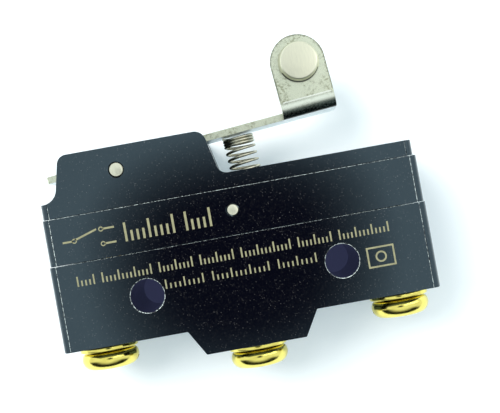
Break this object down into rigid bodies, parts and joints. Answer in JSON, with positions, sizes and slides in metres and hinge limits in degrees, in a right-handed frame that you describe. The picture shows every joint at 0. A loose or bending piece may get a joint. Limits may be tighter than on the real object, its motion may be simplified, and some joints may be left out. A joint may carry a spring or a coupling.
{
  "type": "limit switch",
  "caption": "Snap-action limit switch in stacked dark moulded blocks, with a short hinged roller lever, an open return spring and brass screw terminals.",
  "frame": {"origin": "on the back mounting face, midway between the two mounting holes", "axes": "+X along the body towards the roller end, +Y towards the lever (terminals at -Y), +Z out of the front face"},
  "size_m": [0.0492, 0.0427, 0.0174],
  "materials": {
    "phenolic": "moulded phenolic, blue-black, satin gloss",
    "plunger_plastic": "dark brown moulded phenolic",
    "pin_steel": "bright steel, finely scratched",
    "spring_steel": "drawn stainless wire",
    "lever_steel": "stainless strip, pale with faint olive stains",
    "roller_steel": "sintered stainless, satin",
    "terminal_brass": "stamped brass",
    "screw_brass": "polished brass",
    "blade_copper": "beryllium copper strip",
    "contact_silver": "silver alloy"
  },
  "bodies": {
    "housing": {"base_case": "phenolic", "cover_case": "phenolic", "hinge_housing": "phenolic", "cover_pin": "pin_steel", "pivot_pin": "pin_steel", "terminal_common": "terminal_brass", "terminal_no": "terminal_brass", "terminal_nc": "terminal_brass", "fixed_contact_no": "contact_silver", "fixed_contact_nc": "contact_silver", "blade_rivet": "terminal_brass", "screw_common": "screw_brass", "screw_no": "screw_brass", "screw_nc": "screw_brass", "washer_common": "screw_brass", "washer_no": "screw_brass", "washer_nc": "screw_brass", "return_spring": "spring_steel"},
    "lever": {"roller_lever": "lever_steel", "roller_axle": "pin_steel"},
    "roller": {"roller": "roller_steel"},
    "plunger": {"plunger": "plunger_plastic"},
    "blade": {"snap_blade": "blade_copper", "moving_contact": "contact_silver"}
  },
  "joints": [
    {"name": "lever_hinge", "type": "hinge", "parent": "housing", "child": "lever", "pos_m": [-0.01385, 0.0167, 0.00873], "axis": [0, 0, -1], "range_deg": [0, 9], "stiffness_Nm_per_rad": 0.12, "springref_deg": -14.32, "deforming": ["return_spring"]},
    {"name": "roller_spin", "type": "hinge", "parent": "lever", "child": "roller", "pos_m": [0.01191, 0.02666, 0.01064], "axis": [0, 0, 1], "continuous": true},
    {"name": "plunger_slide", "type": "slide", "parent": "housing", "child": "plunger", "axis": [0, -1, 0], "range_m": [0, 0.00045]},
    {"name": "blade_snap", "type": "hinge", "parent": "housing", "child": "blade", "pos_m": [-0.017, 0.00525, 0.00873], "axis": [0, 0, -1], "range_deg": [0, 1.12]}
  ],
  "couplings": [
    {"joint": "plunger_slide", "follows": "lever_hinge", "m_per_rad": 0.002864},
    {"joint": "blade_snap", "follows": "lever_hinge", "ratio": 0.124}
  ]
}
